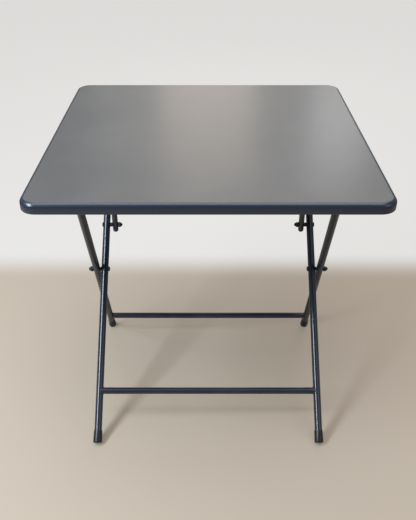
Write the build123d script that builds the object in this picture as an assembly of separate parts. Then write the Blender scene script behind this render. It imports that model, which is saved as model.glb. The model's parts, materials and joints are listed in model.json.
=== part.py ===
from build123d import *
import math
import os

os.makedirs("parts", exist_ok=True)

# A square folding table: a folded sheet-steel top on two crossed tube frames.
# X runs left to right, Y from the front edge to the back, Z up from the floor.
# Setbacks are measured from the front edge of the top.

# Table top, a steel sheet with a rolled edge, a deep rim and a returned hem
TABLE_HEIGHT = 740.0
TOP_WIDTH = 800.0
TOP_DEPTH = 800.0
RIM_HEIGHT = 25.0
SHEET = 1.2
CORNER_RADIUS = 38.0
EDGE_RADIUS = 10.0
HEM_WIDTH = 11.0

# Stiffening rails under the sheet, open channels with welding flanges
RAIL_WIDTH = 58.0
RAIL_DEPTH = 20.0
RAIL_SHEET = 1.5
RAIL_FLANGE = 11.0
RAIL_BEND = 3.0
RAIL_END_GAP = 34.0
BACK_RAIL_INSET = 110.0

# Crossed legs, seen from the side; a foot's setback is where its leg's line meets the floor
FRONT_FOOT_SETBACK = 9.0
BACK_FOOT_SETBACK = 538.0
INNER_LEAN = 42.3
OUTER_LEAN = 64.0
HINGE_DROP = 45.0
STRUT_BOLT_HEIGHT = 424.0

# Leg tubes
LEG_DIAMETER = 20.0
LEG_WALL = 1.2
LEG_INSET = 101.0
LEG_GAP = 3.5
INNER_LEG_OVERRUN = 36.0
OUTER_LEG_OVERRUN = 13.0

# Stretcher tubes between the legs
STRETCHER_DIAMETER = 18.0
STRETCHER_WALL = 1.2
FRONT_STRETCHER_HEIGHT = 100.0
BACK_STRETCHER_HEIGHT = 63.0
COPE_GAP = 0.05

# Strut tubes that hang from the rear pivot blocks to the inner legs
STRUT_DIAMETER = 16.0
STRUT_WALL = 1.2
STRUT_GAP = 7.0
STRUT_TOP_OVERRUN = 10.0
STRUT_TAIL = 16.0

# Pivot bolts, with domed heads, spacers and cap nuts
BOLT_DIAMETER = 8.0
RUNNING_CLEARANCE = 0.05
SIDE_CLEARANCE = 0.3
SPACER_DIAMETER = 12.0
HEAD_DIAMETER = 14.0
CROSS_HEAD_HEIGHT = 4.4
STRUT_HEAD_HEIGHT = 2.8
HEAD_ROUNDING = 0.8
NUT_ACROSS_FLATS = 13.0
NUT_HEIGHT = 5.8
NUT_DOME_RADIUS = 5.5
WASHER_DIAMETER = 15.0
WASHER_THICKNESS = 1.6

# Rubber feet, smooth boots with a rounded end, pressed a little flat on the floor
FOOT_LIP_WALL = 1.2
FOOT_SOLE_WALL = 2.0
FOOT_LENGTH = 33.0
FOOT_FLOOR = 3.2
FOOT_LIP_RADIUS = 0.5
FOOT_SOLE_RADIUS = 3.0
FOOT_FLAT = 0.8

# End plugs
PLUG_DEPTH = 9.0
PLUG_RIM = 1.6
PLUG_DOME = 2.2
PLUG_CLEARANCE = 0.05

# Pivot blocks, moulded and screwed under the rails
BLOCK_LENGTH = 30.0
BLOCK_WIDTH = 30.0
BLOCK_WALL = 5.0
BLOCK_FLANGE = 12.0
BLOCK_FLANGE_THICKNESS = 4.0
BLOCK_INSET = 62.0
SEAT_CLEARANCE = 0.3
MOUTH_FRONT_FLARE = 30.0
MOUTH_REAR_FLARE = 6.0

# Pan-head screws that hold the blocks
SCREW_DIAMETER = 4.0
SCREW_HEAD_DIAMETER = 8.0
SCREW_HEAD_HEIGHT = 2.4
SCREW_TIP = 5.0
SCREW_CLEARANCE = 0.05

# One overrun serves every cut
CUT_OVERRUN = 5.0

# Places worked out from the sizes above
leg_radius = LEG_DIAMETER / 2
stretcher_radius = STRETCHER_DIAMETER / 2
strut_radius = STRUT_DIAMETER / 2
bolt_radius = BOLT_DIAMETER / 2
bolt_hole_radius = bolt_radius + RUNNING_CLEARANCE
inner_x = TOP_WIDTH / 2 - LEG_INSET
outer_x = inner_x + LEG_DIAMETER + LEG_GAP
strut_x = inner_x - leg_radius - STRUT_GAP - strut_radius
hinge_z = TABLE_HEIGHT - HINGE_DROP
rail_bottom = TABLE_HEIGHT - SHEET - RAIL_DEPTH
inner_cos = math.cos(math.radians(INNER_LEAN))
inner_sin = math.sin(math.radians(INNER_LEAN))
outer_cos = math.cos(math.radians(OUTER_LEAN))
outer_sin = math.sin(math.radians(OUTER_LEAN))
foot_spread = BACK_FOOT_SETBACK - FRONT_FOOT_SETBACK

# The legs cross where both side lines meet
cross_z = foot_spread / (inner_cos / inner_sin + outer_cos / outer_sin)
cross_setback = FRONT_FOOT_SETBACK + cross_z * inner_cos / inner_sin

# The outer legs reach the front hinge line under the top
front_hinge_setback = cross_setback - (hinge_z - cross_z) * outer_cos / outer_sin
outer_upper = (hinge_z - cross_z) / outer_sin

# The strut bolt sits on the inner leg, above the crossing
strut_bolt_setback = FRONT_FOOT_SETBACK + STRUT_BOLT_HEIGHT * inner_cos / inner_sin
inner_upper = (STRUT_BOLT_HEIGHT - cross_z) / inner_sin

# Flat folding: top and strut together are as long as the two upper leg parts
link_sum = outer_upper + inner_upper
bolt_reach = strut_bolt_setback - front_hinge_setback
bolt_drop = hinge_z - STRUT_BOLT_HEIGHT
hinge_span = (link_sum**2 - bolt_reach**2 - bolt_drop**2) / (2 * (link_sum - bolt_reach))
rear_hinge_setback = front_hinge_setback + hinge_span
strut_length = link_sum - hinge_span


def place(x, setback, z):
    """A point from its distance behind the front edge."""
    return Vector(x, setback - TOP_DEPTH / 2, z)


front_hinge = place(0, front_hinge_setback, hinge_z)
rear_hinge = place(0, rear_hinge_setback, hinge_z)
cross_point = place(0, cross_setback, cross_z)
strut_bolt = place(0, strut_bolt_setback, STRUT_BOLT_HEIGHT)
inner_foot = place(0, FRONT_FOOT_SETBACK, 0)
outer_foot = place(0, BACK_FOOT_SETBACK, 0)
inner_axis = Vector(0, inner_cos, inner_sin)
outer_axis = Vector(0, -outer_cos, outer_sin)
strut_axis = (rear_hinge - strut_bolt).normalized()
across = Vector(1, 0, 0)
up = Vector(0, 0, 1)


def shifted(point, x):
    """The same point of the side view, at another width."""
    return Vector(x, point.Y, point.Z)


def rod(start, axis, radius, length):
    """A solid round bar."""
    plane = Plane(origin=start, z_dir=axis)
    return plane * Cylinder(radius, length, align=(Align.CENTER, Align.CENTER, Align.MIN))


def tube(start, axis, radius, wall, length):
    """A round tube, open at both ends."""
    bore_start = start - axis * CUT_OVERRUN
    bore = rod(bore_start, axis, radius - wall, length + 2 * CUT_OVERRUN)
    return rod(start, axis, radius, length) - bore


def turned(start, axis, outline):
    """A body of revolution; the outline is (radius, distance along the axis)."""
    face = make_face(Polyline(*[(radius, 0, height) for radius, height in outline], close=True))
    return Plane(origin=start, z_dir=axis) * revolve(face, Axis.Z)


def cross_hole(point, x, reach):
    """The cutter for a bolt hole, across a tube at x."""
    return rod(shifted(point, x - reach), across, bolt_hole_radius, 2 * reach)


def screw_hole(point):
    """The cutter for a screw's hole, up through a flange and a rail's sheet."""
    return rod(point - up * RAIL_DEPTH / 2, up, SCREW_DIAMETER / 2 + SCREW_CLEARANCE, RAIL_DEPTH)


def save(name, shape):
    """One file for each piece."""
    export_step(shape, "parts/" + name + ".step")


def save_pair(name, build):
    """The left and the right piece of a pair; side is -1 on the left."""
    for side, word in ((-1, "left"), (1, "right")):
        save(name + "_" + word, build(side))


# Table top
def top_outline(inset):
    """The plan of the top, drawn in from its edge."""
    width = TOP_WIDTH - 2 * inset
    depth = TOP_DEPTH - 2 * inset
    return RectangleRounded(width, depth, CORNER_RADIUS - inset)


def rounded_slab(inset, bottom, top, radius):
    """A slab with the plan of the top and a rolled upper edge."""
    slab = extrude(Plane.XY.offset(bottom) * top_outline(inset), top - bottom)
    return fillet(slab.faces().sort_by(Axis.Z)[-1].edges(), radius)


def top_pan():
    rim_bottom = TABLE_HEIGHT - RIM_HEIGHT
    shell = rounded_slab(0, rim_bottom, TABLE_HEIGHT, EDGE_RADIUS)
    inside_top = TABLE_HEIGHT - SHEET
    hollow = rounded_slab(SHEET, rim_bottom + SHEET, inside_top, EDGE_RADIUS - SHEET)
    mouth_plane = Plane.XY.offset(rim_bottom - CUT_OVERRUN)
    mouth = extrude(mouth_plane * top_outline(HEM_WIDTH), RIM_HEIGHT / 2)
    return shell - hollow - mouth


def rail_section(setback):
    """The folded section of a rail, a channel with a flange on each side."""
    half = RAIL_WIDTH / 2
    wide = half + RAIL_FLANGE
    top = TABLE_HEIGHT - SHEET
    right = [(wide, 0), (wide, -RAIL_SHEET), (half, -RAIL_SHEET), (half, -RAIL_DEPTH)]
    left = [(-y, z) for y, z in reversed(right)]
    plane = Plane(origin=place(0, setback, top), x_dir=(0, 1, 0), z_dir=across)
    channel = make_face(Polyline(*right, *left, close=True))
    hollow_half = half - RAIL_SHEET
    hollow_depth = RAIL_DEPTH - RAIL_SHEET
    hollow = Rectangle(2 * hollow_half, hollow_depth, align=(Align.CENTER, Align.MAX))
    return plane, channel, hollow


def rail(setback, screws):
    """A rail, with its webs bent and pilot holes for the block screws."""
    length = TOP_WIDTH - 2 * RAIL_END_GAP
    plane, channel, hollow = rail_section(setback)
    body = extrude(plane.offset(-length / 2) * channel, length)
    void = extrude(plane.offset(-length / 2 - CUT_OVERRUN) * hollow, length + 2 * CUT_OVERRUN)
    low = body.edges().filter_by(Axis.X).sort_by(Axis.Z)[0:2]
    body = fillet(low, RAIL_BEND)
    inner_low = void.edges().filter_by(Axis.X).sort_by(Axis.Z)[0:2]
    void = fillet(inner_low, RAIL_BEND - RAIL_SHEET)
    body = body - void
    for point in screws:
        body = body - screw_hole(point)
    return body


# Pivot blocks
def block_x(side):
    """The blocks stand inboard of the struts, the same distance in."""
    return side * (strut_x - BLOCK_INSET)


def screw_points(setback):
    """Two screws to a block, one before and one behind its body."""
    reach = BLOCK_WIDTH / 2 + BLOCK_FLANGE / 2
    points = []
    for side in (-1, 1):
        for way in (-1, 1):
            points.append(place(block_x(side), setback + way * reach, rail_bottom))
    return points


def block_body(side, setback, radius):
    """A moulded block with a rounded nose and two screw flanges."""
    centre = place(block_x(side), setback, hinge_z)
    nose = radius + BLOCK_WALL
    rise = rail_bottom - hinge_z
    x_start = block_x(side) - BLOCK_LENGTH / 2
    plane = Plane(origin=Vector(x_start, centre.Y, hinge_z), x_dir=(0, 1, 0), z_dir=across)
    half = BLOCK_WIDTH / 2
    side_line = [(-nose, 0), (-half, rise - BLOCK_FLANGE_THICKNESS), (-half, rise)]
    side_line += [(half, rise), (half, rise - BLOCK_FLANGE_THICKNESS), (nose, 0)]
    outline = Polyline(*side_line) + ThreePointArc((nose, 0), (0, -nose), (-nose, 0))
    body = extrude(plane * make_face(outline), BLOCK_LENGTH)
    flange_plan = RectangleRounded(BLOCK_LENGTH, BLOCK_WIDTH + 2 * BLOCK_FLANGE, BLOCK_FLANGE / 2)
    low = rise - BLOCK_FLANGE_THICKNESS
    flange_plane = Plane(origin=Vector(centre.X, centre.Y, hinge_z + low))
    body = body + extrude(flange_plane * flange_plan, BLOCK_FLANGE_THICKNESS)
    for point in screw_points(setback):
        body = body - screw_hole(point)
    return body, centre, x_start


def rear_block(side):
    """The strut frame's cross tube turns in a closed bore."""
    body, centre, x_start = block_body(side, rear_hinge_setback, strut_radius)
    start = Vector(x_start - CUT_OVERRUN, centre.Y, hinge_z)
    length = BLOCK_LENGTH + 2 * CUT_OVERRUN
    return body - rod(start, across, strut_radius + RUNNING_CLEARANCE, length)


def mouth_side(seat, drop, flare, way):
    """Where one wall of the mouth leaves the round seat, and its lower end."""
    lean = math.radians(flare)
    leave = (way * seat * math.cos(lean), seat * math.sin(lean))
    fall = drop + leave[1]
    return leave, (leave[0] + way * fall * math.tan(lean), -drop)


def front_block(side):
    """The outer frame's top bar lies in a round seat with an open, flared mouth."""
    body, centre, x_start = block_body(side, front_hinge_setback, leg_radius)
    seat = leg_radius + SEAT_CLEARANCE
    start = Vector(x_start - CUT_OVERRUN, centre.Y, hinge_z)
    length = BLOCK_LENGTH + 2 * CUT_OVERRUN
    body = body - rod(start, across, seat, length)
    plane = Plane(origin=start, x_dir=(0, 1, 0), z_dir=across)
    drop = leg_radius + BLOCK_WALL + CUT_OVERRUN
    front_high, front_low = mouth_side(seat, drop, MOUTH_FRONT_FLARE, -1)
    rear_high, rear_low = mouth_side(seat, drop, MOUTH_REAR_FLARE, 1)
    mouth = make_face(Polyline(front_high, rear_high, rear_low, front_low, close=True))
    return body - extrude(plane * mouth, length)


def screws(setback):
    """Pan-head screws, driven up through the flanges into the rail."""
    radius = SCREW_DIAMETER / 2
    head_radius = SCREW_HEAD_DIAMETER / 2
    top = BLOCK_FLANGE_THICKNESS + RAIL_SHEET + SCREW_TIP
    low = -SCREW_HEAD_HEIGHT
    outline = [(0, low), (head_radius - SCREW_HEAD_HEIGHT / 2, low), (head_radius, low / 2)]
    outline += [(head_radius, 0), (radius, 0), (radius, top - radius), (0, top)]
    solids = []
    for point in screw_points(setback):
        solids.append(turned(point - up * BLOCK_FLANGE_THICKNESS, up, outline).solid())
    return Compound(solids)


# Legs and stretchers
def foot_end(lean_cos, lean_sin):
    """Where a boot ends on its leg's line, so that its low edge presses on the floor."""
    flat_radius = leg_radius + FOOT_SOLE_WALL - FOOT_SOLE_RADIUS
    lowest = flat_radius * lean_cos + FOOT_SOLE_RADIUS * (1 - lean_sin)
    return (lowest - FOOT_FLAT) / lean_sin


inner_foot_end = foot_end(inner_cos, inner_sin)
outer_foot_end = foot_end(outer_cos, outer_sin)
inner_leg_start = inner_foot_end + FOOT_FLOOR
outer_leg_start = outer_foot_end + FOOT_FLOOR
inner_leg_length = (strut_bolt - inner_foot).length + INNER_LEG_OVERRUN
outer_leg_length = (front_hinge - outer_foot).length + OUTER_LEG_OVERRUN


def inner_leg(side):
    x = side * inner_x
    start = inner_foot + inner_axis * inner_leg_start
    body = tube(shifted(start, x), inner_axis, leg_radius, LEG_WALL, inner_leg_length - inner_leg_start)
    reach = leg_radius + LEG_GAP / 2
    return body - cross_hole(cross_point, x, reach) - cross_hole(strut_bolt, x, reach)


def outer_leg(side):
    x = side * outer_x
    start = outer_foot + outer_axis * outer_leg_start
    body = tube(shifted(start, x), outer_axis, leg_radius, LEG_WALL, outer_leg_length - outer_leg_start)
    return body - cross_hole(cross_point, x, leg_radius + LEG_GAP / 2)


def coped_bar(point, half, radius, wall, axis, mate_radius):
    """A tube between two legs, its ends shaped to the round legs they meet."""
    bar = tube(shifted(point, -half), across, radius, wall, 2 * half)
    reach = 2 * (radius + mate_radius)
    for side in (-1, 1):
        mate_start = shifted(point, side * half) - axis * reach
        mate = rod(mate_start, axis, mate_radius + COPE_GAP, 2 * reach)
        bar = bar - mate
    return bar.solids().sort_by(SortBy.VOLUME)[-1]


def front_stretcher():
    point = inner_foot + inner_axis * (FRONT_STRETCHER_HEIGHT / inner_sin)
    return coped_bar(point, inner_x, stretcher_radius, STRETCHER_WALL, inner_axis, leg_radius)


def back_stretcher():
    point = outer_foot + outer_axis * (BACK_STRETCHER_HEIGHT / outer_sin)
    return coped_bar(point, outer_x, stretcher_radius, STRETCHER_WALL, outer_axis, leg_radius)


def outer_top_bar():
    return coped_bar(front_hinge, outer_x, leg_radius, LEG_WALL, outer_axis, leg_radius)


# Strut frame
def strut(side):
    x = side * strut_x
    start = strut_bolt - strut_axis * STRUT_TAIL
    length = strut_length + STRUT_TAIL + STRUT_TOP_OVERRUN
    body = tube(shifted(start, x), strut_axis, strut_radius, STRUT_WALL, length)
    return body - cross_hole(strut_bolt, x, strut_radius + STRUT_GAP / 2)


def strut_cross_tube():
    return coped_bar(rear_hinge, strut_x, strut_radius, STRUT_WALL, strut_axis, strut_radius)


# End plugs and feet
def plug(end, axis, radius, wall):
    """A moulded plug: a stem in the tube and a domed rim over its end."""
    stem = radius - wall - PLUG_CLEARANCE
    outline = [(0, -PLUG_DEPTH), (stem, -PLUG_DEPTH), (stem, 0), (radius, 0)]
    outline += [(radius, PLUG_RIM), (radius - PLUG_DOME, PLUG_RIM + PLUG_DOME), (0, PLUG_RIM + PLUG_DOME)]
    return turned(end, axis, outline)


def strut_cap(side):
    """A deep round-nosed cap closes the lower end of each strut."""
    end = shifted(strut_bolt - strut_axis * STRUT_TAIL, side * strut_x)
    plane = Plane(origin=end, z_dir=strut_axis * -1)
    nose = Sphere(strut_radius, arc_size1=0, align=(Align.CENTER, Align.CENTER, Align.MIN))
    stem = rod(end, strut_axis, strut_radius - STRUT_WALL - PLUG_CLEARANCE, PLUG_DEPTH)
    return plane * nose + stem


def foot(point, axis, x, end):
    """A smooth rubber boot over the tube's end, flat where it meets the floor."""
    base = shifted(point, x)
    upright = (Align.CENTER, Align.CENTER, Align.MIN)
    boot = Cone(leg_radius + FOOT_SOLE_WALL, leg_radius + FOOT_LIP_WALL, FOOT_LENGTH, align=upright)
    boot = fillet(boot.edges().sort_by(Axis.Z)[-1], FOOT_LIP_RADIUS)
    boot = fillet(boot.edges().sort_by(Axis.Z)[0], FOOT_SOLE_RADIUS)
    boot = Plane(origin=base + axis * end, z_dir=axis) * boot
    room = 2 * FOOT_LENGTH
    ground = Box(room, room, room, align=(Align.CENTER, Align.CENTER, Align.MAX))
    boot = boot - Location(base) * ground
    return boot - rod(base + axis * (end + FOOT_FLOOR), axis, leg_radius, FOOT_LENGTH)


def front_foot(side):
    return foot(inner_foot, inner_axis, side * inner_x, inner_foot_end)


def back_foot(side):
    return foot(outer_foot, outer_axis, side * outer_x, outer_foot_end)


# Pivot hardware
def bolt(point, head_x, way, head_height, shank):
    """A bolt across the tubes; way is the direction from head to nut."""
    head = HEAD_DIAMETER / 2
    outline = [(0, -head_height), (head / 2, HEAD_ROUNDING / 2 - head_height)]
    outline += [(head - HEAD_ROUNDING, -head_height / 2), (head, -HEAD_ROUNDING), (head, 0)]
    outline += [(bolt_radius, 0), (bolt_radius, shank), (0, shank)]
    return turned(shifted(point, head_x), across * way, outline)


def spacer(point, x_low, x_high):
    """A plain sleeve round the bolt, between two tubes."""
    length = x_high - x_low
    body = rod(shifted(point, x_low), across, SPACER_DIAMETER / 2, length)
    return body - rod(shifted(point, x_low - length), across, bolt_hole_radius, 3 * length)


def cap_nut(point, x, way):
    """A washer, hexagon and dome in one piece over the bolt's end."""
    axis = across * way
    start = shifted(point, x)
    washer = rod(start, axis, WASHER_DIAMETER / 2, WASHER_THICKNESS)
    hexagon_plane = Plane(origin=start + axis * WASHER_THICKNESS, z_dir=axis)
    hexagon = extrude(hexagon_plane * RegularPolygon(NUT_ACROSS_FLATS / math.sqrt(3), 6), NUT_HEIGHT)
    depth = WASHER_THICKNESS + NUT_HEIGHT
    dome = Location(start + axis * depth) * Sphere(NUT_DOME_RADIUS)
    bore = rod(start - axis * depth, axis, bolt_hole_radius, 2 * depth)
    return washer + hexagon + dome - bore


cross_head_x = inner_x - leg_radius
cross_nut_x = outer_x + leg_radius + SIDE_CLEARANCE
cross_shank = cross_nut_x - cross_head_x + WASHER_THICKNESS + NUT_HEIGHT
strut_head_x = inner_x + leg_radius
strut_nut_x = strut_x - strut_radius - SIDE_CLEARANCE
strut_shank = strut_head_x - strut_nut_x + WASHER_THICKNESS + NUT_HEIGHT


def cross_bolt(side):
    return bolt(cross_point, side * cross_head_x, side, CROSS_HEAD_HEIGHT, cross_shank)


def cross_spacer(side):
    ends = (side * (inner_x + leg_radius), side * (outer_x - leg_radius - SIDE_CLEARANCE))
    return spacer(cross_point, min(ends), max(ends))


def cross_nut(side):
    return cap_nut(cross_point, side * cross_nut_x, side)


def strut_pivot_bolt(side):
    return bolt(strut_bolt, side * strut_head_x, -side, STRUT_HEAD_HEIGHT, strut_shank)


def strut_spacer(side):
    ends = (side * (strut_x + strut_radius + SIDE_CLEARANCE), side * (inner_x - leg_radius))
    return spacer(strut_bolt, min(ends), max(ends))


def strut_nut(side):
    return cap_nut(strut_bolt, side * strut_nut_x, -side)


def inner_leg_plug(side):
    end = inner_foot + inner_axis * inner_leg_length
    return plug(shifted(end, side * inner_x), inner_axis, leg_radius, LEG_WALL)


def outer_leg_plug(side):
    end = outer_foot + outer_axis * outer_leg_length
    return plug(shifted(end, side * outer_x), outer_axis, leg_radius, LEG_WALL)


def strut_plug(side):
    end = strut_bolt + strut_axis * (strut_length + STRUT_TOP_OVERRUN)
    return plug(shifted(end, side * strut_x), strut_axis, strut_radius, STRUT_WALL)


# The pieces of the table
save("top_pan", top_pan())
save("front_cross_rail", rail(front_hinge_setback, screw_points(front_hinge_setback)))
save("middle_cross_rail", rail(rear_hinge_setback, screw_points(rear_hinge_setback)))
save("back_cross_rail", rail(TOP_DEPTH - BACK_RAIL_INSET, []))
save_pair("front_pivot_block", front_block)
save_pair("rear_pivot_block", rear_block)
save("front_block_screws", screws(front_hinge_setback))
save("rear_block_screws", screws(rear_hinge_setback))

save_pair("strut", strut)
save("strut_cross_tube", strut_cross_tube())
save_pair("strut_cap", strut_cap)
save_pair("strut_plug", strut_plug)

save_pair("inner_leg", inner_leg)
save("front_stretcher", front_stretcher())
save_pair("inner_leg_plug", inner_leg_plug)
save_pair("front_foot", front_foot)
save_pair("cross_bolt", cross_bolt)
save_pair("cross_spacer", cross_spacer)
save_pair("cross_nut", cross_nut)
save_pair("strut_bolt", strut_pivot_bolt)
save_pair("strut_spacer", strut_spacer)
save_pair("strut_nut", strut_nut)

save_pair("outer_leg", outer_leg)
save("outer_top_bar", outer_top_bar())
save("back_stretcher", back_stretcher())
save_pair("outer_leg_plug", outer_leg_plug)
save_pair("back_foot", back_foot)

for name, point in (
    ("front hinge", front_hinge),
    ("rear hinge", rear_hinge),
    ("strut bolt", strut_bolt),
    ("crossing", cross_point),
):
    print(name, round(point.Y, 3), round(point.Z, 3))
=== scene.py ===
# %% [markdown]
# A folding card table: a square sheet-steel top on two crossed frames of painted tube.
# The exact parts come in as a fixed frame, in metres. This lesson gives them their
# finishes and adds what a maker would look for up close: the folded top, weld beads,
# socket bolts, cap nuts, plugs, rubber boots and spot welds.

# %% Load the fixed frame
import json
import math

import bmesh
import bpy
from mathutils import Matrix, Quaternion, Vector


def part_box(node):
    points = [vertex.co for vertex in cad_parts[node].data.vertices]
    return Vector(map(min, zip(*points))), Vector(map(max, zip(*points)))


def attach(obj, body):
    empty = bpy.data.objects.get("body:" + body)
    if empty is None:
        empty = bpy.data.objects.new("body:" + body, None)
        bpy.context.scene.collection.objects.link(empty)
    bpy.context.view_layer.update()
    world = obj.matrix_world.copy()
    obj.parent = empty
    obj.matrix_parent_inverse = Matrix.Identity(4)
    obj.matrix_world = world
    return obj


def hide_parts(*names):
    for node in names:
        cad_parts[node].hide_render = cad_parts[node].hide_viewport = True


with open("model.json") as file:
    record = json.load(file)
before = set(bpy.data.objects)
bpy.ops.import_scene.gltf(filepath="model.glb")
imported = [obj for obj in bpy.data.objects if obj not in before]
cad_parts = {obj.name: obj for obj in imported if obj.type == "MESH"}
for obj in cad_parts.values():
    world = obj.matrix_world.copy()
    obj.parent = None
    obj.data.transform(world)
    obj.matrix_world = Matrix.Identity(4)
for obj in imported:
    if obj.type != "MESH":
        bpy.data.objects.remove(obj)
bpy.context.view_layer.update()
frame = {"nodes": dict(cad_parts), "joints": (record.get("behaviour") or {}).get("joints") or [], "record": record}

nodes = frame["nodes"]
MM = 0.001
SIDES = {"left": -1, "right": 1}


joint_at = {joint["name"]: Vector(joint["pos_m"]) for joint in frame["joints"]}

# %% [markdown]
# The camera comes first. The photograph was taken from in front of the table, about
# 1.4 m up, looking down at it. A Blender camera with no turn looks straight down, so
# it is tipped up by 90 degrees less the downward tilt. The lens follows from the focal
# length in picture heights, and a small shift puts the horizon where the photo has it.

# %% Camera
PHOTO_WIDTH_PX = 416
PHOTO_HEIGHT_PX = 520
FOCAL_PX = 645.8
CENTRE_X_PX = 208.3
CENTRE_Y_PX = 262.5
CAMERA_PLACE = (0.0, -1.586, 1.362)
CAMERA_TILT = math.radians(32.82)
SENSOR_MM = 36.0

camera_data = bpy.data.cameras.new("photo_camera")
camera_data.sensor_fit = "AUTO"
camera_data.sensor_width = SENSOR_MM
camera_data.lens = SENSOR_MM * FOCAL_PX / PHOTO_HEIGHT_PX
camera_data.shift_x = (PHOTO_WIDTH_PX / 2 - CENTRE_X_PX) / PHOTO_HEIGHT_PX
camera_data.shift_y = (CENTRE_Y_PX - PHOTO_HEIGHT_PX / 2) / PHOTO_HEIGHT_PX
camera = bpy.data.objects.new("photo_camera", camera_data)
camera.location = CAMERA_PLACE
camera.rotation_euler = (math.pi / 2 - CAMERA_TILT, 0, 0)
bpy.context.scene.collection.objects.link(camera)
bpy.context.scene.camera = camera
bpy.context.scene.view_settings.view_transform = "Standard"
print("lens", round(camera_data.lens, 1), "mm")

# %% [markdown]
# Shader maths reads best as plain Python. A Wire holds one output socket, and each
# operator adds the Math node that works it out. Every other node comes from one
# method, which sets the node's own settings first and then its sockets. The same
# method serves the materials and, at the end, the sky.


# %% Shader helpers
class Wire:
    """One output of a node, ready for sums."""

    def __init__(self, graph, socket):
        self.graph = graph
        self.socket = socket

    def sum_with(self, operation, first, second):
        return self.graph.node("ShaderNodeMath", {"operation": operation}, {0: first, 1: second})

    def __add__(self, other):
        return self.sum_with("ADD", self, other)

    def __radd__(self, other):
        return self.sum_with("ADD", other, self)

    def __sub__(self, other):
        return self.sum_with("SUBTRACT", self, other)

    def __rsub__(self, other):
        return self.sum_with("SUBTRACT", other, self)

    def __mul__(self, other):
        return self.sum_with("MULTIPLY", self, other)

    def __rmul__(self, other):
        return self.sum_with("MULTIPLY", other, self)


class Graph:
    """Adds nodes to one node tree."""

    def __init__(self, tree):
        self.tree = tree

    def node(self, kind, settings=None, inputs=None, output=0):
        made = self.tree.nodes.new(kind)
        for key, value in (settings or {}).items():
            setattr(made, key, value)
        for key, value in (inputs or {}).items():
            self.feed(made.inputs[key], value)
        return Wire(self, made.outputs[output])

    def feed(self, socket, value):
        if isinstance(value, Wire):
            self.tree.links.new(value.socket, socket)
        else:
            socket.default_value = value


# %% [markdown]
# A finish is a material under construction. Its patterns all start from Object
# coordinates, so they stay put on a piece however the table folds, and every pattern
# is a size in metres or millimetres rather than a bare noise scale.


# %% Finish helper
class Finish(Graph):
    """A material under construction, around one Principled shader."""

    def __init__(self, name):
        self.material = bpy.data.materials.new(name)
        self.material.use_nodes = True
        super().__init__(self.material.node_tree)
        self.shader = self.tree.nodes["Principled BSDF"]
        self.place = self.node("ShaderNodeTexCoord", output="Object")

    def surface(self, **values):
        """Sets the shader's sockets; an underscore in a name stands for a space."""
        for key, value in values.items():
            self.feed(self.shader.inputs[key.replace("_", " ")], value)

    def grain(self, size, detail=2.0, roughness=0.5, stretch=(1, 1, 1), turn=0.0):
        """Noise from 0 to 1 with features of about that size, turned about +Z."""
        spread = {"Vector": self.place, "Rotation": (0, 0, turn), "Scale": stretch}
        vector = self.node("ShaderNodeMapping", {"vector_type": "POINT"}, spread)
        inputs = {"Vector": vector, "Scale": 1 / size, "Detail": detail, "Roughness": roughness}
        return self.node("ShaderNodeTexNoise", None, inputs)

    def ramp(self, value, low, high):
        """A smooth step from 0 to 1 between two limits of a value."""
        inputs = {"Value": value, "From Min": low, "From Max": high}
        return self.node("ShaderNodeMapRange", {"interpolation_type": "SMOOTHSTEP"}, inputs)

    def blend(self, mask, below, above):
        """A colour that goes from below to above as the mask goes from 0 to 1."""
        inputs = {0: mask, 6: below, 7: above}
        return self.node("ShaderNodeMix", {"data_type": "RGBA"}, inputs, output=2)

    def height(self, axis="Z"):
        """How far a point is along an axis of the table, in metres."""
        return self.node("ShaderNodeSeparateXYZ", None, {"Vector": self.place}, output=axis)

    def bumps(self, height, depth, under=None):
        """Turns heights from 0 to 1 into bumps that deep, in metres."""
        inputs = {"Strength": 1.0, "Distance": depth, "Height": height}
        if under is not None:
            inputs["Normal"] = under
        return self.node("ShaderNodeBump", None, inputs)


def colour(red, green, blue):
    """A colour in linear light."""
    return (red, green, blue, 1.0)


# %% [markdown]
# The frame is powder coated in a dark blue grey. Powder flows out in the oven with a
# faint skin like the peel of an orange, half a millimetre to a millimetre across, so
# the highlights on the tubes run long and slightly soft. Low on the legs, shoes leave
# a few pale scuffs. A thin clear coat over the colour gives the crisp streaks.

# %% Frame paint
FRAME_BLUE = colour(0.009, 0.015, 0.030)
FRAME_BLUE_WORN = colour(0.014, 0.021, 0.037)
SCUFF_GREY = colour(0.085, 0.090, 0.100)
PEEL_SIZE = 0.9 * MM
PEEL_DEPTH = 0.007 * MM
TUBE_CLOUD_SIZE = 0.11
TUBE_CLOUD_LIMITS = (0.35, 0.70)
SCUFF_SIZE = 0.012
SCUFF_STRETCH = (1, 1, 0.35)
SCUFF_LIMITS = (0.66, 0.74)
SCUFF_FADE_HEIGHTS = (0.03, 0.22)
SCUFF_STRENGTH = 0.55
TUBE_ROUGHNESS = 0.36
CLOUD_ROUGHENS = 0.07
SCUFF_ROUGHENS = 0.18
TUBE_COAT = {"Coat_Weight": 0.95, "Coat_Roughness": 0.12, "Coat_IOR": 1.6}
TUBE_SPECULAR = 0.2


def peel(finish):
    """The fine skin of powder coating."""
    return finish.bumps(finish.grain(PEEL_SIZE, detail=1.0), PEEL_DEPTH)


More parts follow.
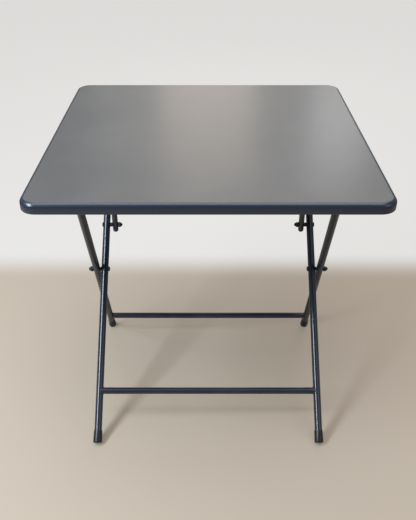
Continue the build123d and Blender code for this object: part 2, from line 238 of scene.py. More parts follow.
def make_frame_paint():
    finish = Finish("frame_paint")
    cloud = finish.ramp(finish.grain(TUBE_CLOUD_SIZE, detail=3.0), *TUBE_CLOUD_LIMITS)
    tone = finish.blend(cloud, FRAME_BLUE, FRAME_BLUE_WORN)
    scratches = finish.grain(SCUFF_SIZE, detail=6.0, roughness=0.65, stretch=SCUFF_STRETCH)
    low = 1 - finish.ramp(finish.height(), *SCUFF_FADE_HEIGHTS)
    scuffs = finish.ramp(scratches, *SCUFF_LIMITS) * low * SCUFF_STRENGTH
    tone = finish.blend(scuffs, tone, SCUFF_GREY)
    rough = TUBE_ROUGHNESS + CLOUD_ROUGHENS * cloud + SCUFF_ROUGHENS * scuffs
    finish.surface(Base_Color=tone, Roughness=rough, Normal=peel(finish))
    finish.surface(Specular_IOR_Level=TUBE_SPECULAR, **TUBE_COAT)
    return finish.material


frame_paint = make_frame_paint()
print("made", frame_paint.name)

# %% [markdown]
# The whole top is one dark blue grey paint, as on the frame. On the flat sheet a warm
# mid grey is painted in as a painted reflection of a pale wall. Wiping has left the
# sheet satin, with faint clouds and hair-fine marks in no one direction, and it is not
# quite flat, which breaks up the reflections a little. The rolled edge and the rim keep
# the paint's own darker blue grey. The step between the painted reflection and the
# paint follows the height, since only the flat sheet is at full height.

# %% Top paint
RIM_BLUE = colour(0.010, 0.019, 0.040)
# The two greys of the flat sheet are a painted reflection of a pale wall, not the paint's own colour.
TOP_REFLECTION_GREY = colour(0.110, 0.105, 0.100)
TOP_REFLECTION_GREY_PALE = colour(0.129, 0.122, 0.115)
top_low, top_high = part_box("top_pan")
TOP_FACE = top_high[2]
EDGE_STEP = 0.05 * MM
EDGE_FADE = 0.30 * MM
SHEET_CLOUD_SIZE = 0.17
SHEET_CLOUD_LIMITS = (0.30, 0.72)
PATCH_SIZE = 0.05
RIPPLE_SIZE = 0.16
RIPPLE_DEPTH = 0.12 * MM
MARK_WIDTH = 1.1 * MM
MARK_STRETCH = (1.0, 0.03, 1.0)
MARK_LIMITS = (0.60, 0.72)
MARK_TURNS = (0.5, -0.8)
MARK_DEPTH = 0.006 * MM
SHEET_ROUGHNESS = 0.36
SHEET_ROUGHENS = 0.05
RIM_COAT = 0.90
SHEET_COAT_LOSS = 0.35
TOP_COAT = {"Coat_Roughness": 0.24, "Coat_IOR": 1.6}
TOP_SPECULAR = 0.3


def wipe_marks(finish, turn):
    """Hair-fine wiping marks that run along one direction of the sheet."""
    hairs = finish.grain(MARK_WIDTH, detail=3.0, roughness=0.6, stretch=MARK_STRETCH, turn=turn)
    return finish.ramp(hairs, *MARK_LIMITS)


def make_top_paint():
    finish = Finish("top_paint")
    flat = finish.ramp(finish.height(), TOP_FACE - EDGE_FADE, TOP_FACE - EDGE_STEP)
    clouds = finish.grain(SHEET_CLOUD_SIZE, detail=4.0, roughness=0.55)
    cloud = finish.ramp(clouds, *SHEET_CLOUD_LIMITS)
    # The flat sheet's warm grey, with its pale clouds, is a painted reflection of a pale wall on the blue grey
    # paint.
    sheet = finish.blend(cloud, TOP_REFLECTION_GREY, TOP_REFLECTION_GREY_PALE)
    tone = finish.blend(flat, RIM_BLUE, sheet)
    patches = finish.grain(PATCH_SIZE, detail=3.0)
    first, second = [wipe_marks(finish, turn) for turn in MARK_TURNS]
    marks = (first + second) * (1 / len(MARK_TURNS))
    rough = SHEET_ROUGHNESS + flat * (SHEET_ROUGHENS * (patches + cloud + marks))
    ripple = finish.bumps(finish.grain(RIPPLE_SIZE, detail=0.0), RIPPLE_DEPTH, peel(finish))
    fine = finish.bumps(marks * flat, MARK_DEPTH, ripple)
    finish.surface(Base_Color=tone, Roughness=rough, Normal=fine)
    finish.surface(Coat_Weight=RIM_COAT - SHEET_COAT_LOSS * flat, **TOP_COAT)
    finish.surface(Specular_IOR_Level=TOP_SPECULAR)
    return finish.material


top_paint = make_top_paint()
print("made", top_paint.name)

# %% [markdown]
# The pivot blocks, caps and plugs are moulded nylon. The mould is spark eroded, which
# leaves an even fine texture, so one noise makes both the bumps and the small changes
# of gloss. A second, larger noise clouds the colour a little.

# %% Moulded nylon
NYLON_BLACK = colour(0.011, 0.012, 0.014)
NYLON_GREY = colour(0.021, 0.022, 0.025)
NYLON_TEXTURE_SIZE = 0.35 * MM
NYLON_TEXTURE_DEPTH = 0.02 * MM
NYLON_CLOUD_SIZE = 0.02
NYLON_CLOUD_LIMITS = (0.3, 0.7)
NYLON_ROUGHNESS = 0.46
NYLON_TEXTURE_ROUGHENS = 0.08


def make_moulding():
    finish = Finish("moulding")
    texture = finish.grain(NYLON_TEXTURE_SIZE, detail=3.0, roughness=0.6)
    cloud = finish.ramp(finish.grain(NYLON_CLOUD_SIZE), *NYLON_CLOUD_LIMITS)
    finish.surface(Base_Color=finish.blend(cloud, NYLON_BLACK, NYLON_GREY))
    finish.surface(Roughness=NYLON_ROUGHNESS + NYLON_TEXTURE_ROUGHENS * texture)
    finish.surface(Normal=finish.bumps(texture, NYLON_TEXTURE_DEPTH))
    return finish.material


moulding = make_moulding()
print("made", moulding.name)

# %% [markdown]
# The boots on the feet are satin rubber that has picked up dust near the floor. The
# dust is a thin film with denser patches, and it fades out within a centimetre of the
# floor. It is paler and rougher than the rubber, so one mask drives both.

# %% Foot rubber
RUBBER_BLACK = colour(0.009, 0.010, 0.013)
DUST = colour(0.085, 0.078, 0.068)
RUBBER_TEXTURE_SIZE = 0.5 * MM
RUBBER_TEXTURE_DEPTH = 0.015 * MM
DUST_PATCH_SIZE = 0.006
DUST_PATCH_LIMITS = (0.40, 0.75)
DUST_TOP = 0.009
DUST_FILM = 0.05
DUST_IN_PATCHES = 0.35
RUBBER_ROUGHNESS = 0.31
DUST_ROUGHENS = 0.30
RUBBER_TEXTURE_ROUGHENS = 0.05
RUBBER_SPECULAR = 0.55


def make_rubber():
    finish = Finish("foot_rubber")
    texture = finish.grain(RUBBER_TEXTURE_SIZE, detail=2.0)
    patches = finish.ramp(finish.grain(DUST_PATCH_SIZE, detail=4.0), *DUST_PATCH_LIMITS)
    low = 1 - finish.ramp(finish.height(), 0.0, DUST_TOP)
    dust = low * (DUST_FILM + DUST_IN_PATCHES * patches)
    rough = RUBBER_ROUGHNESS + DUST_ROUGHENS * dust + RUBBER_TEXTURE_ROUGHENS * texture
    finish.surface(Base_Color=finish.blend(dust, RUBBER_BLACK, DUST))
    finish.surface(Roughness=rough, Specular_IOR_Level=RUBBER_SPECULAR)
    finish.surface(Normal=finish.bumps(texture, RUBBER_TEXTURE_DEPTH))
    return finish.material


rubber = make_rubber()
print("made", rubber.name)

# %% [markdown]
# The bolts and nuts are blackened steel, rubbed to a soft shine where a spanner has
# been. Where the blacking is rubbed away the steel is paler, more metallic and a
# little smoother.

# %% Blackened steel
STEEL_BLACK = colour(0.020, 0.023, 0.031)
STEEL_RUBBED = colour(0.075, 0.080, 0.090)
RUB_SIZE = 1.6 * MM
RUB_LIMITS = (0.52, 0.72)
RUB_DEPTH = 0.008 * MM
STEEL_METALLIC = 0.35
RUB_METALLIC = 0.5
STEEL_ROUGHNESS = 0.36
RUB_SMOOTHS = 0.08
STEEL_COAT = {"Coat_Weight": 0.3, "Coat_Roughness": 0.2}


def make_fastener():
    finish = Finish("fastener")
    rubs = finish.ramp(finish.grain(RUB_SIZE, detail=5.0, roughness=0.7), *RUB_LIMITS)
    finish.surface(Base_Color=finish.blend(rubs, STEEL_BLACK, STEEL_RUBBED))
    finish.surface(Metallic=STEEL_METALLIC + RUB_METALLIC * rubs)
    finish.surface(Roughness=STEEL_ROUGHNESS - RUB_SMOOTHS * rubs)
    finish.surface(Normal=finish.bumps(rubs, RUB_DEPTH), **STEEL_COAT)
    return finish.material


fastener = make_fastener()
print("made", fastener.name)

# %% [markdown]
# Every exact part is given the finish of its slot in the record, so that nothing is
# left in a plain import colour, whether or not it is replaced below.

# %% Finish the exact parts
finishes = {
    "top_paint": top_paint,
    "frame_paint": frame_paint,
    "moulding": moulding,
    "foot_rubber": rubber,
    "fastener": fastener,
}
for entry in frame["record"]["subparts"]:
    node = nodes[entry["node"]]
    node.data.materials.clear()
    node.data.materials.append(finishes[entry["material_slot"]])
print("finished", len(nodes), "exact parts")

# %% [markdown]
# New pieces all end the same way: the bmesh becomes an object at the origin, its
# faces are turned outwards, smooth shading is broken at sharp corners, the piece is
# put on the body it rides on, and the exact parts it stands for are hidden.

# %% Helper that finishes a piece
SHARP_ANGLE = math.radians(38)
MERGE_DISTANCE = 0.004 * MM


def add_piece(name, bm, slot, body, stands_for=()):
    """Makes an object of a bmesh, and puts it on its body."""
    bmesh.ops.remove_doubles(bm, verts=bm.verts, dist=MERGE_DISTANCE)
    bmesh.ops.recalc_face_normals(bm, faces=bm.faces)
    mesh = bpy.data.meshes.new(name)
    bm.to_mesh(mesh)
    bm.free()
    mesh.shade_smooth()
    mesh.set_sharp_from_angle(angle=SHARP_ANGLE)
    mesh.materials.append(finishes[slot])
    piece = bpy.data.objects.new(name, mesh)
    bpy.context.scene.collection.objects.link(piece)
    if stands_for:
        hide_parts(*stands_for)
    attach(piece, body)
    return piece


# %% [markdown]
# Most of the small pieces are turned, as on a lathe: a half profile is spun about +Z
# at the origin and then moved to its place. Two kinds of curve come back in these
# profiles, a stretch of a circle and a quarter dome that may be wider than it is tall.

# %% Helpers for turned shapes
TURNED_STEPS = 48


def turned(bm, profile, steps=TURNED_STEPS):
    """Spins a profile of (radius, height) points once round +Z."""
    line = [bm.verts.new((radius, 0, height)) for radius, height in profile]
    edges = [bm.edges.new(pair) for pair in zip(line, line[1:])]
    spun = {"axis": (0, 0, 1), "cent": (0, 0, 0), "angle": math.tau, "steps": steps}
    bmesh.ops.spin(bm, geom=line + edges, use_merge=True, **spun)


def facing(direction, place):
    """The turn and shift that bring +Z to a direction and the origin to a place."""
    turn = Vector((0, 0, 1)).rotation_difference(Vector(direction)).to_matrix().to_4x4()
    return Matrix.Translation(place) @ turn


def moved(bm, start, matrix):
    """Places the vertices that were added since a count was taken."""
    bm.verts.ensure_lookup_table()
    bmesh.ops.transform(bm, matrix=matrix, verts=bm.verts[start:])


def arc(centre, radius, start, end, count=6):
    """Points of a round stretch of a profile, its angles in degrees."""
    points = []
    for step in range(count + 1):
        angle = math.radians(start + (end - start) * step / count)
        points.append((centre[0] + radius * math.cos(angle), centre[1] + radius * math.sin(angle)))
    return points


def dome(outer, inner, base, rise, count=8):
    """Points of a quarter dome, from the outer radius at its base up to the inner one."""
    points = []
    for step in range(count + 1):
        angle = math.radians(90 * step / count)
        points.append((inner + (outer - inner) * math.cos(angle), base + rise * math.sin(angle)))
    return points


# %% [markdown]
# The top is one sheet with its edge rolled down, a deep rim, and a hem folded in all
# round. It starts as a square whose corners are bevelled round. The rim is pulled
# down from its outline and the rolled edge is a bevel of the upper loop. The hem is
# an inset of the bottom loop. Solidify then gives the whole skin its thickness.

# %% The folded top
SHEET = 1.2 * MM
CORNER_RADIUS = 38.0 * MM
CORNER_STEPS = 20
EDGE_RADIUS = 10.0 * MM
EDGE_STEPS = 8
HEM_WIDTH = 11.0 * MM
FOLD_RADIUS = 1.6 * MM
FOLD_STEPS = 4
SHADE_BAND = 1.5 * MM
LEVEL_TOLERANCE = 0.01 * MM
UPRIGHT = 0.5
RIM_BOTTOM = top_low[2]


def flat_edges(bm, height):
    """The edges that lie at one height."""
    level = LEVEL_TOLERANCE
    return [e for e in bm.edges if all(abs(v.co.z - height) < level for v in e.verts)]


def is_rim_edge(edge):
    """True for the loop where the upright rim meets the hem."""
    return any(abs(face.normal.z) < UPRIGHT for face in edge.link_faces)


def top_skin():
    """The top as one skin without thickness."""
    bm = bmesh.new()
    half = (top_high[0] - top_low[0]) / 2
    bmesh.ops.create_grid(bm, x_segments=1, y_segments=1, size=half)
    bmesh.ops.translate(bm, verts=bm.verts, vec=(0, 0, TOP_FACE))
    rolled = {"profile": 0.5, "material": -1, "offset_type": "OFFSET"}
    corners = {"affect": "VERTICES", "offset": CORNER_RADIUS, "segments": CORNER_STEPS}
    bmesh.ops.bevel(bm, geom=bm.verts[:], **corners, **rolled)
    rim = bmesh.ops.extrude_edge_only(bm, edges=bm.edges[:])
    lower = [g for g in rim["geom"] if isinstance(g, bmesh.types.BMVert)]
    bmesh.ops.translate(bm, verts=lower, vec=(0, 0, RIM_BOTTOM - TOP_FACE))
    hem = bmesh.ops.edgeloop_fill(bm, edges=flat_edges(bm, RIM_BOTTOM))["faces"]
    bmesh.ops.inset_region(bm, faces=hem, thickness=HEM_WIDTH, use_even_offset=True)
    bmesh.ops.delete(bm, geom=hem, context="FACES_ONLY")
    fold = [e for e in flat_edges(bm, RIM_BOTTOM) if len(e.link_faces) == 2 and is_rim_edge(e)]
    folds = {"affect": "EDGES", "offset": FOLD_RADIUS, "segments": FOLD_STEPS}
    bmesh.ops.bevel(bm, geom=fold, **folds, **rolled)
    upper = [e for e in flat_edges(bm, TOP_FACE) if len(e.link_faces) == 2]
    edges = {"affect": "EDGES", "offset": EDGE_RADIUS, "segments": EDGE_STEPS}
    bmesh.ops.bevel(bm, geom=upper, **edges, **rolled)
    sheet = max(bm.faces, key=lambda face: face.calc_area())
    bmesh.ops.inset_region(bm, faces=[sheet], thickness=SHADE_BAND, use_even_offset=True)
    return bm


top_sheet = add_piece("top_sheet", top_skin(), "top_paint", "tabletop", ["top_pan"])
thickness = top_sheet.modifiers.new("sheet", "SOLIDIFY")
thickness.thickness = SHEET
thickness.offset = -1
thickness.use_even_offset = True
print("top", len(top_sheet.data.polygons), "faces")

# %% [markdown]
# The stretchers and cross bars are welded to the legs. A weld on thin tube is a small
# rippled fillet that follows the saddle where one round meets another. A small circle
# spun about the bar makes a ring, and each point of the ring is then slid along the
# bar until it sits on the leg. The ripples are a slow wave of the bead's thickness.

# %% Weld beads
BEAD_RADIUS = 1.5 * MM
BEAD_SEGMENTS = 10
BEAD_STEPS = 72
BEAD_RIPPLES = 24
RIPPLE_SHARE = 0.10
SADDLE_SHARE = 0.98
LEG_RADIUS = 10.0 * MM
STRETCHER_RADIUS = 9.0 * MM
STRUT_RADIUS = 8.0 * MM


def middle_of(node):
    """The middle of an exact part's box."""
    low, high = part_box(node)
    return (Vector(low) + Vector(high)) / 2


def bead_ring(bar_radius):
    """A small circle spun once round the X axis, on the surface of a bar."""
    bm = bmesh.new()
    circle = {"cap_ends": False, "radius": BEAD_RADIUS, "segments": BEAD_SEGMENTS}
    ring = bmesh.ops.create_circle(bm, **circle)["verts"]
    bmesh.ops.translate(bm, verts=ring, vec=(0, bar_radius, 0))
    spun = {"axis": (1, 0, 0), "cent": (0, 0, 0), "angle": math.tau, "steps": BEAD_STEPS}
    bmesh.ops.spin(bm, geom=bm.verts[:] + bm.edges[:], use_merge=True, **spun)
    return bm


def weld_bead(name, body, centre, bar_radius, leg_x, leg_axis, leg_radius):
    """A rippled ring where a bar along X meets a leg at leg_x."""
    bm = bead_ring(bar_radius)
    side = 1 if leg_x > 0 else -1
    normal = Vector((0, -leg_axis[2], leg_axis[1]))
    for vert in bm.verts:
        around = Vector((0, vert.co.y, vert.co.z))
        angle = math.atan2(around.z, around.y)
        ripple = 1 + RIPPLE_SHARE * math.sin(BEAD_RIPPLES * angle)
        radial = around.normalized()
        thick = (around.length - bar_radius) * ripple
        across = min(abs((radial * bar_radius).dot(normal)), leg_radius * SADDLE_SHARE)
        reach = math.sqrt(leg_radius**2 - across**2)
        slide = leg_x - side * (reach + vert.co.x * ripple)
        vert.co = Vector((slide, centre.y, centre.z)) + radial * (bar_radius + thick)
    add_piece(name, bm, "frame_paint", body)


# %% [markdown]
# A leg's direction comes from two pivots on its middle line, which the joints give
# exactly. A box or the outermost corners of a tube would be a degree or so off. A bar
# as wide as its leg gets a bead on a slightly smaller circle, because at full width
# the saddle would run round the side of the leg.

# %% Weld each bar to its legs
tube_lines = {
    "inner_leg": (joint_at["leg_crossing"], joint_at["inner_leg_hinge"]),
    "outer_leg": (joint_at["leg_crossing"], middle_of("outer_top_bar")),
    "strut": (joint_at["inner_leg_hinge"], joint_at["table_fold"]),
}
SAME_WIDTH_SHARE = 0.97


def axis_of(tube):
    """The upward direction of a leg or strut, from one pivot on its middle line to the next."""
    lower, upper = tube_lines[tube.rsplit("_", 1)[0]]
    return Vector((0, upper.y - lower.y, upper.z - lower.z)).normalized()


welded_bars = (
    ("front_stretcher", "inner_leg", "inner_leg_frame", STRETCHER_RADIUS, LEG_RADIUS),
    ("back_stretcher", "outer_leg", "outer_leg_frame", STRETCHER_RADIUS, LEG_RADIUS),
    ("outer_top_bar", "outer_leg", "outer_leg_frame", LEG_RADIUS * SAME_WIDTH_SHARE, LEG_RADIUS),
    ("strut_cross_tube", "strut", "strut_frame", STRUT_RADIUS * SAME_WIDTH_SHARE, STRUT_RADIUS),
)
for bar, leg, body, bar_radius, leg_radius in welded_bars:
    for side_name in SIDES:
        weld_bead(
            "weld_" + bar + "_" + side_name,
            body,
            middle_of(bar),
            bar_radius,
            middle_of(leg + "_" + side_name).x,
            axis_of(leg + "_" + side_name),
            leg_radius,
        )
print("welds", len(welded_bars) * len(SIDES))

# %% [markdown]
# The pivots are socket bolts with low domed heads. The head is a spun profile with a
# flat ring left open in the middle. A hexagon is bridged to that ring, pushed in and
# closed, which makes the socket for the key. The shank is a plain spun line that
# starts inside the head.

# %% Button heads with a hexagon socket
FLAT_SHARE = 1.35
UNDERSIDE_SHARE = 0.5
BRIM_SHARE = 0.97
CHAMFER_SHARE = 0.10
BRIM_HEIGHT_SHARE = 0.22
SHANK_STEPS = 32


def button_head(bm, radius, height, socket_radius, socket_depth):
    """A domed head on the plane z = 0, with a hexagon socket in its crown."""
    brim = height * BRIM_HEIGHT_SHARE
    profile = [(radius * UNDERSIDE_SHARE, 0), (radius * BRIM_SHARE, 0)]
    profile.append((radius, height * CHAMFER_SHARE))
    profile += dome(radius, socket_radius * FLAT_SHARE, brim, height - brim)
    turned(bm, profile)
    crown = [e for e in flat_edges(bm, height) if e.is_boundary]
    circle = {"cap_ends": False, "radius": socket_radius, "segments": 6}
    hexagon = bmesh.ops.create_circle(bm, **circle)["verts"]
    bmesh.ops.translate(bm, verts=hexagon, vec=(0, 0, height))
    lip = list({edge for vert in hexagon for edge in vert.link_edges})
    bmesh.ops.bridge_loops(bm, edges=crown + lip)
    pushed = bmesh.ops.extrude_edge_only(bm, edges=lip)["geom"]
    floor_verts = [g for g in pushed if isinstance(g, bmesh.types.BMVert)]
    floor_edges = [g for g in pushed if isinstance(g, bmesh.types.BMEdge)]
    bmesh.ops.translate(bm, verts=floor_verts, vec=(0, 0, -socket_depth))
    bmesh.ops.edgeloop_fill(bm, edges=floor_edges)


def shank(bm, head_radius, radius, length, point=0.0, steps=SHANK_STEPS):
    """A plain shank below the plane z = 0; a screw's ends in a point."""
    line = [(head_radius * UNDERSIDE_SHARE, 0), (radius, 0)]
    turned(bm, line + [(radius, point - length), (0, -length)], steps=steps)


# %% [markdown]
# A bolt's place, length and direction are read from its exact part: the head is at
# the end of the box nearest the head side. The crossing bolts have their heads on the
# inside of the inner legs, and the strut bolts have theirs on the outside.

# %% Pivot bolts
HEAD_RADIUS = 7.0 * MM
CROSS_HEAD_HEIGHT = 4.4 * MM
STRUT_HEAD_HEIGHT = 2.8 * MM
SHANK_RADIUS = 4.0 * MM
SOCKET_RADIUS = 2.7 * MM
SOCKET_DEPTH_SHARE = 0.6


def pivot_bolt(node, way, head_height):
    """A socket bolt along X; way is the direction from its head to its nut."""
    low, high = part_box(node)
    middle = middle_of(node)
    head_x = low[0] if way > 0 else high[0]
    place = Vector((head_x + way * head_height, middle.y, middle.z))
    bm = bmesh.new()
    button_head(bm, HEAD_RADIUS, head_height, SOCKET_RADIUS, head_height * SOCKET_DEPTH_SHARE)
    shank(bm, HEAD_RADIUS, SHANK_RADIUS, high[0] - low[0] - head_height)
    moved(bm, 0, facing((-way, 0, 0), place))
    add_piece("socket_" + node, bm, "fastener", "inner_leg_frame", [node])


for side_name, side in SIDES.items():
    pivot_bolt("cross_bolt_" + side_name, side, CROSS_HEAD_HEIGHT)
    pivot_bolt("strut_bolt_" + side_name, -side, STRUT_HEAD_HEIGHT)
print("bolts", 2 * len(SIDES))

# %% [markdown]
# A cap nut is a washer, a chamfered hexagon and a smooth dome that hides the end of
# the thread. The washer and the dome are spun. The hexagon is a six-sided cone with
# equal ends whose edges are softened by a small bevel.

# %% Cap nuts
WASHER_RADIUS = 7.5 * MM
WASHER_THICKNESS = 1.6 * MM
WASHER_SOFTENING = 0.25 * MM
NUT_ACROSS_FLATS = 13.0 * MM
NUT_CORNER_RADIUS = NUT_ACROSS_FLATS / math.sqrt(3)
NUT_SOFTENING = 0.35 * MM
NUT_SOFT_STEPS = 3
DOME_RADIUS = 5.5 * MM
DOME_SINK = 0.3 * MM
DOME_STEPS = 9


def hexagon_block(bm, height):
    """The nut's hexagon, standing on its washer."""
    size = {"radius1": NUT_CORNER_RADIUS, "radius2": NUT_CORNER_RADIUS, "depth": height}
    bmesh.ops.create_cone(bm, cap_ends=True, segments=6, **size)
    bmesh.ops.translate(bm, verts=bm.verts, vec=(0, 0, WASHER_THICKNESS + height / 2))
    soft = {"affect": "EDGES", "segments": NUT_SOFT_STEPS, "profile": 0.5, "material": -1}
    bmesh.ops.bevel(bm, geom=bm.edges[:], offset=NUT_SOFTENING, offset_type="OFFSET", **soft)


def cap_nut(node, way):
    """A cap nut on a washer; way is the direction that its dome points in."""
    low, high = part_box(node)
    middle = middle_of(node)
    face_x = low[0] if way > 0 else high[0]
    hexagon_top = high[0] - low[0] - DOME_RADIUS
    bm = bmesh.new()
    hexagon_block(bm, hexagon_top - WASHER_THICKNESS)
    soft = WASHER_SOFTENING
    washer = [(SHANK_RADIUS, 0), (WASHER_RADIUS - soft, 0), (WASHER_RADIUS, soft)]
    washer += [(WASHER_RADIUS, WASHER_THICKNESS - soft), (WASHER_RADIUS - soft, WASHER_THICKNESS)]
    turned(bm, washer + [(SHANK_RADIUS, WASHER_THICKNESS)])
    cap = [(DOME_RADIUS, hexagon_top - DOME_SINK)]
    turned(bm, cap + arc((0, hexagon_top), DOME_RADIUS, 0, 90, count=DOME_STEPS))
    moved(bm, 0, facing((way, 0, 0), Vector((face_x, middle.y, middle.z))))
    add_piece("domed_" + node, bm, "fastener", "inner_leg_frame", [node])


for side_name, side in SIDES.items():
    cap_nut("cross_nut_" + side_name, side)
    cap_nut("strut_nut_" + side_name, -side)
print("nuts", 2 * len(SIDES))

# %% [markdown]
# The tube ends are closed by moulded plugs: a stem inside the tube, a thin collar over
# its edge and a shallow dome, all one turned profile. The height comes from the
# outermost point of the exact plug along its tube, and the collar is centred on the
# tube's own line.

# %% End plugs
PLUG_RIM = 1.6 * MM
PLUG_DOME = 2.2 * MM
PLUG_STEM = 9.0 * MM
PLUG_SOFTENING = 0.35 * MM
CROWN_INSET = 0.9 * MM
TUBE_WALL = 1.25 * MM


def on_axis(point, tube, axis):
    """The nearest place on a tube's middle line, as its Y and Z."""
    start = middle_of(tube)
    along = start + axis * (point - start).dot(axis)
    return along.y, along.z


def plug_profile(radius):
    """The plug's half section, with its collar seated at height 0."""
    soft = PLUG_SOFTENING
    stem = radius - TUBE_WALL
    profile = [(0, -PLUG_STEM), (stem, -PLUG_STEM), (stem, 0), (radius - soft, 0)]
    profile += [(radius, soft), (radius, PLUG_RIM - soft), (radius - soft, PLUG_RIM)]
    return profile + dome(radius - CROWN_INSET, 0, PLUG_RIM, PLUG_DOME)


def end_plug(node, tube, radius, body):
    """A domed plug in the upper end of a tube."""
    axis = axis_of(tube)
    tip = max(vert.co.dot(axis) for vert in nodes[node].data.vertices)
    centre = middle_of(node)
    collar = centre + axis * (tip - PLUG_DOME - PLUG_RIM - centre.dot(axis))
    collar.y, collar.z = on_axis(collar, tube, axis)
    bm = bmesh.new()
    turned(bm, plug_profile(radius))
    moved(bm, 0, facing(axis, collar))
    add_piece("domed_" + node, bm, "moulding", body, [node])


plugged_tubes = (
    ("inner_leg", LEG_RADIUS, "inner_leg_frame"),
    ("outer_leg", LEG_RADIUS, "outer_leg_frame"),
    ("strut", STRUT_RADIUS, "strut_frame"),
)
for tube, radius, body in plugged_tubes:
    for side_name in SIDES:
        end_plug(tube + "_plug_" + side_name, tube + "_" + side_name, radius, body)
print("plugs", len(plugged_tubes) * len(SIDES))

# %% [markdown]
# The feet are rubber boots pushed over the tubes, a little wider at the end than at
# the lip. One profile is spun round the leg's own line: the lip, the tapered wall, the
# rounded edge and an end with two grip grooves. The floor then cuts off the lowest
# crumb, because rubber under load presses flat.

# %% Rubber boots
LIP_WALL = 1.2 * MM
SOLE_WALL = 2.0 * MM
LIP_ROUND = 0.5 * MM
LIP_STEPS = 3
SOLE_ROUND = 3.0 * MM
BOOT_LENGTH = 33.0 * MM
BOOT_STEPS = 64
LIP_DEPTH = 3.0 * MM
GROOVE_DEPTH = 0.7 * MM
GROOVE_WIDTH = 1.0 * MM
GROOVE_SHARES = (0.42, 0.76)
CUT_TOLERANCE = 0.001 * MM


def boot_profile():
    """The boot's half section as (radius, distance from its end)."""
    lip_radius = LEG_RADIUS + LIP_WALL
    flat_radius = LEG_RADIUS + SOLE_WALL - SOLE_ROUND
    lip_centre = (lip_radius - LIP_ROUND, BOOT_LENGTH - LIP_ROUND)
    profile = [(0, 0)]
    for share in GROOVE_SHARES:
        near = flat_radius * share
        far = near + GROOVE_WIDTH
        profile += [(near, 0), (near, GROOVE_DEPTH), (far, GROOVE_DEPTH), (far, 0)]
    profile += arc((flat_radius, SOLE_ROUND), SOLE_ROUND, -90, 0)
    profile += arc(lip_centre, LIP_ROUND, 0, 90, count=LIP_STEPS)
    return profile + [(LEG_RADIUS, BOOT_LENGTH), (LEG_RADIUS, BOOT_LENGTH - LIP_DEPTH)]


def boot(node, tube, body):
    """A boot on a leg's line, cut flat by the floor."""
    axis = axis_of(tube)
    centre = middle_of(tube)
    top = max((vert.co - centre).dot(axis) for vert in nodes[node].data.vertices)
    bm = bmesh.new()
    turned(bm, boot_profile(), steps=BOOT_STEPS)
    moved(bm, 0, facing(axis, centre + axis * (top - BOOT_LENGTH)))
    cut = bm.verts[:] + bm.edges[:] + bm.faces[:]
    floor_side = {"plane_co": (0, 0, 0), "plane_no": (0, 0, -1), "clear_outer": True}
    bmesh.ops.bisect_plane(bm, geom=cut, dist=CUT_TOLERANCE, **floor_side)
    bmesh.ops.edgeloop_fill(bm, edges=flat_edges(bm, 0))
    add_piece("rubber_" + node, bm, "foot_rubber", body, [node])


for side_name in SIDES:
    boot("front_foot_" + side_name, "inner_leg_" + side_name, "inner_leg_frame")
    boot("back_foot_" + side_name, "outer_leg_" + side_name, "outer_leg_frame")
print("boots", 2 * len(SIDES))

# %% [markdown]
# Below the top, the rails are spot welded to the sheet. Each weld leaves a shallow
# round dimple with a raised rim in the flange. The dimples are small turned rings,
# one row along each flange, joined into one piece for each rail.

# %% Spot welds on the rails
SPOT_RADIUS = 3.2 * MM
SPOT_PITCH = 84.0 * MM
SPOT_COUNT = 9
SPOT_STEPS = 24
SPOT_DIMPLE = ((0, 0.04), (0.62, 0.06), (0.80, 0.28), (0.92, 0.24), (1, -0.05))
FLANGE_INSET = 5.0 * MM
RAIL_SHEET = 1.5 * MM
RAILS = ("front_cross_rail", "middle_cross_rail", "back_cross_rail")


def spot_welds(rail):
    """Two rows of dimples; their section is (share of the radius, height in mm)."""
    low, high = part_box(rail)
    flange = high[2] - RAIL_SHEET
    ring = [(SPOT_RADIUS * share, height * MM) for share, height in SPOT_DIMPLE]
    bm = bmesh.new()
    for y in (low[1] + FLANGE_INSET, high[1] - FLANGE_INSET):
        for index in range(SPOT_COUNT):
            x = (index - (SPOT_COUNT - 1) / 2) * SPOT_PITCH
            start = len(bm.verts)
            turned(bm, ring, steps=SPOT_STEPS)
            moved(bm, start, facing((0, 0, -1), (x, y, flange)))
    add_piece("spot_welds_" + rail, bm, "frame_paint", "tabletop")


for rail in RAILS:
    spot_welds(rail)
print("spot welds on", len(RAILS), "rails")

# %% [markdown]
# The pivot blocks are held by four small button-head screws on each rail. They reuse
# the socket head of the bolts at a smaller size, on short shanks that run up through
# the flange into the rail.

# %% Block screws
SCREW_RADIUS = 2.0 * MM
SCREW_HEAD_RADIUS = 4.0 * MM
SCREW_HEAD_HEIGHT = 2.4 * MM
SCREW_SOCKET_RADIUS = 1.4 * MM
SCREW_SOCKET_DEPTH = 1.2 * MM
SCREW_POINT = 2.0 * MM
SCREW_STEPS = 24


def block_screw(bm, place, length):
    """One screw, its head's underside at a place and its point up."""
    start = len(bm.verts)
    socket = (SCREW_SOCKET_RADIUS, SCREW_SOCKET_DEPTH)
    button_head(bm, SCREW_HEAD_RADIUS, SCREW_HEAD_HEIGHT, *socket)
    shank(bm, SCREW_HEAD_RADIUS, SCREW_RADIUS, length, SCREW_POINT, SCREW_STEPS)
    moved(bm, start, facing((0, 0, -1), place))


def block_screws(node, block):
    """Four screws at the corners of the exact screws' box."""
    low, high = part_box(node)
    across_x = middle_of(block + "_right").x
    head_face = low[2] + SCREW_HEAD_HEIGHT
    bm = bmesh.new()
    for x in (-across_x, across_x):
        for y in (low[1] + SCREW_HEAD_RADIUS, high[1] - SCREW_HEAD_RADIUS):
            block_screw(bm, (x, y, head_face), high[2] - head_face)
    add_piece("socket_" + node, bm, "fastener", "tabletop", [node])


block_screws("front_block_screws", "front_pivot_block")
block_screws("rear_block_screws", "rear_pivot_block")
print("screws on 2 rails")

# %% [markdown]
# The floor is plain. Around the table it is a warm pale brown that takes the shadows.
# Behind the table its own colour is dark, so that it sends little light back, and a
# glow that only the camera sees makes it as pale as the background. A weaker glow lifts
# the near part too. Neither adds any light to the table.

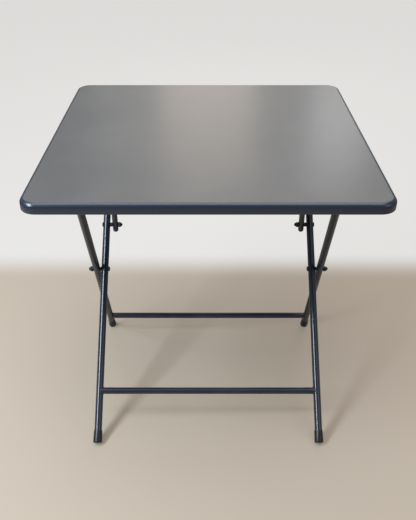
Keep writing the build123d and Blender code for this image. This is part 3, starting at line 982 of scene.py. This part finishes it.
# %% Floor
FLOOR_NEAR = colour(0.45, 0.375, 0.30)
FLOOR_FAR = colour(0.12, 0.118, 0.114)
NO_GLOW = colour(0, 0, 0)
NEAR_GLOW = colour(0.135, 0.110, 0.086)
FAR_GLOW = colour(0.680, 0.668, 0.652)
FLOOR_CHANGE = (0.41, 0.60)
FLOOR_ROUGHNESS = 0.75
FLOOR_HALF = 12.0


def make_floor_finish():
    finish = Finish("floor")
    away = finish.ramp(finish.height("Y"), *FLOOR_CHANGE)
    tone = finish.blend(away, FLOOR_NEAR, FLOOR_FAR)
    finish.surface(Base_Color=tone, Roughness=FLOOR_ROUGHNESS)
    seen = finish.node("ShaderNodeLightPath", output="Is Camera Ray")
    glow = finish.blend(seen, NO_GLOW, finish.blend(away, NEAR_GLOW, FAR_GLOW))
    finish.surface(Emission_Color=glow, Emission_Strength=1.0)
    return finish.material


floor_bm = bmesh.new()
bmesh.ops.create_grid(floor_bm, x_segments=1, y_segments=1, size=FLOOR_HALF)
floor_mesh = bpy.data.meshes.new("floor")
floor_bm.to_mesh(floor_mesh)
floor_bm.free()
floor_mesh.materials.append(make_floor_finish())
floor = bpy.data.objects.new("floor", floor_mesh)
bpy.context.scene.collection.objects.link(floor)
print("floor", 2 * FLOOR_HALF, "m across")

# %% [markdown]
# Six soft lamps, which the camera doesn't see. The key is a long strip to the left,
# rolled about its own beam, which draws the long streaks on the tubes and the light
# line on the rim. A weak fill stands to the right, and the wide overhead lamp is the
# light of the room. The last three stand behind the table and show mainly as
# reflections in its top: a wide pale one, a warm upright one in the middle, and a
# small one to the right.

# %% Lamps
KEY_BLUE = (0.77, 0.89, 1.0)
ROOM_WHITE = (0.93, 0.96, 1.0)
WARM_WHITE = (1.0, 0.98, 0.95)
AMBER = (1.0, 0.84, 0.69)
SOFT_WHITE = (1.0, 0.98, 0.97)
KEY_TARGET = (0, -0.1, 0.4)
FILL_TARGET = (0, 0, 0.4)
OVERHEAD_TARGET = (0, 0, 0.7)
TOP_CENTRE = (0, 0, 0.74)


def lamp(name, place, target, size, watts, tint, roll=0.0):
    """A soft rectangular lamp, aimed at a target and rolled about its beam."""
    data = bpy.data.lights.new(name, "AREA")
    data.shape = "RECTANGLE"
    data.size, data.size_y = size
    data.energy = watts
    data.color = tint
    made = bpy.data.objects.new(name, data)
    made.location = place
    direction = Vector(target) - Vector(place)
    aimed = direction.to_track_quat("-Z", "Y") @ Quaternion((0, 0, 1), roll)
    made.rotation_euler = aimed.to_euler()
    made.visible_camera = False
    bpy.context.scene.collection.objects.link(made)


key_roll = math.radians(39)
lamp("key", (-1.6, -1.1, 1.95), KEY_TARGET, (0.55, 1.8), watts=56, tint=KEY_BLUE, roll=key_roll)
lamp("fill", (2.4, -1.8, 1.8), FILL_TARGET, (1.6, 1.6), watts=6, tint=WARM_WHITE)
lamp("overhead", (0, 0, 2.9), OVERHEAD_TARGET, (2.6, 2.7), watts=45, tint=ROOM_WHITE)
lamp("back_wide", (0.5, 3.4, 2.0), TOP_CENTRE, (3.0, 1.8), watts=7, tint=WARM_WHITE)
lamp("back_warm", (0.0, 3.4, 1.8), TOP_CENTRE, (0.75, 1.5), watts=4.2, tint=AMBER)
lamp("back_small", (1.05, 3.4, 2.1), TOP_CENTRE, (0.45, 0.8), watts=2.2, tint=SOFT_WHITE)

# %% [markdown]
# The sky is an even, faintly blue light from all round. The camera sees it brighter
# than the table does, which gives the pale background without more light on the table.

# %% Sky
SKY_COLOUR = colour(0.94, 0.97, 1.0)
SKY_STRENGTH = 0.24
SKY_SEEN = 0.72

world = bpy.data.worlds.new("studio")
world.use_nodes = True
sky = Graph(world.node_tree)
background = world.node_tree.nodes["Background"]
sky_ray = sky.node("ShaderNodeLightPath", output="Is Camera Ray")
sky_levels = {"Value": sky_ray, "To Min": SKY_STRENGTH, "To Max": SKY_SEEN}
sky.feed(background.inputs["Color"], SKY_COLOUR)
sky.feed(background.inputs["Strength"], sky.node("ShaderNodeMapRange", None, sky_levels))
bpy.context.scene.world = world
print("sky", SKY_STRENGTH, "on the table,", SKY_SEEN, "to the camera")
